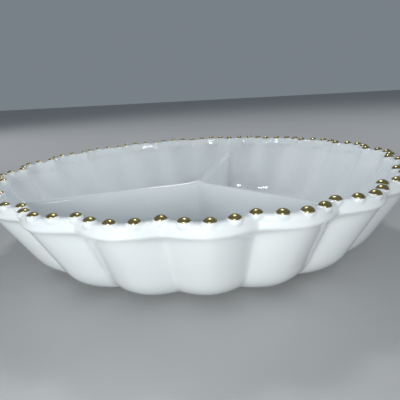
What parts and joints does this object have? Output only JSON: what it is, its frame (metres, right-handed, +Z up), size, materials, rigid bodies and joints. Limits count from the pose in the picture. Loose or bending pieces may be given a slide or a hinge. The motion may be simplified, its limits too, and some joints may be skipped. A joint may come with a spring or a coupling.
{
  "type": "divided serving dish",
  "caption": "Round scalloped milk-glass serving dish with low radial dividers and gilded beads along its rim.",
  "frame": {"origin": "on the table plane, on the dish's axis", "axes": "+Z up along the dish's axis, +Y along the rear divider"},
  "size_m": [0.253, 0.2524, 0.05],
  "materials": {
    "milk_glass": "glossy opaque white pressed glass",
    "gilding": "bright fired gold film"
  },
  "bodies": {
    "root": {"floor": "milk_glass", "scalloped_wall": "milk_glass", "rim_collar": "milk_glass", "bead_row": "gilding", "divider_rear": "milk_glass", "divider_left": "milk_glass", "divider_right": "milk_glass"}
  },
  "joints": []
}
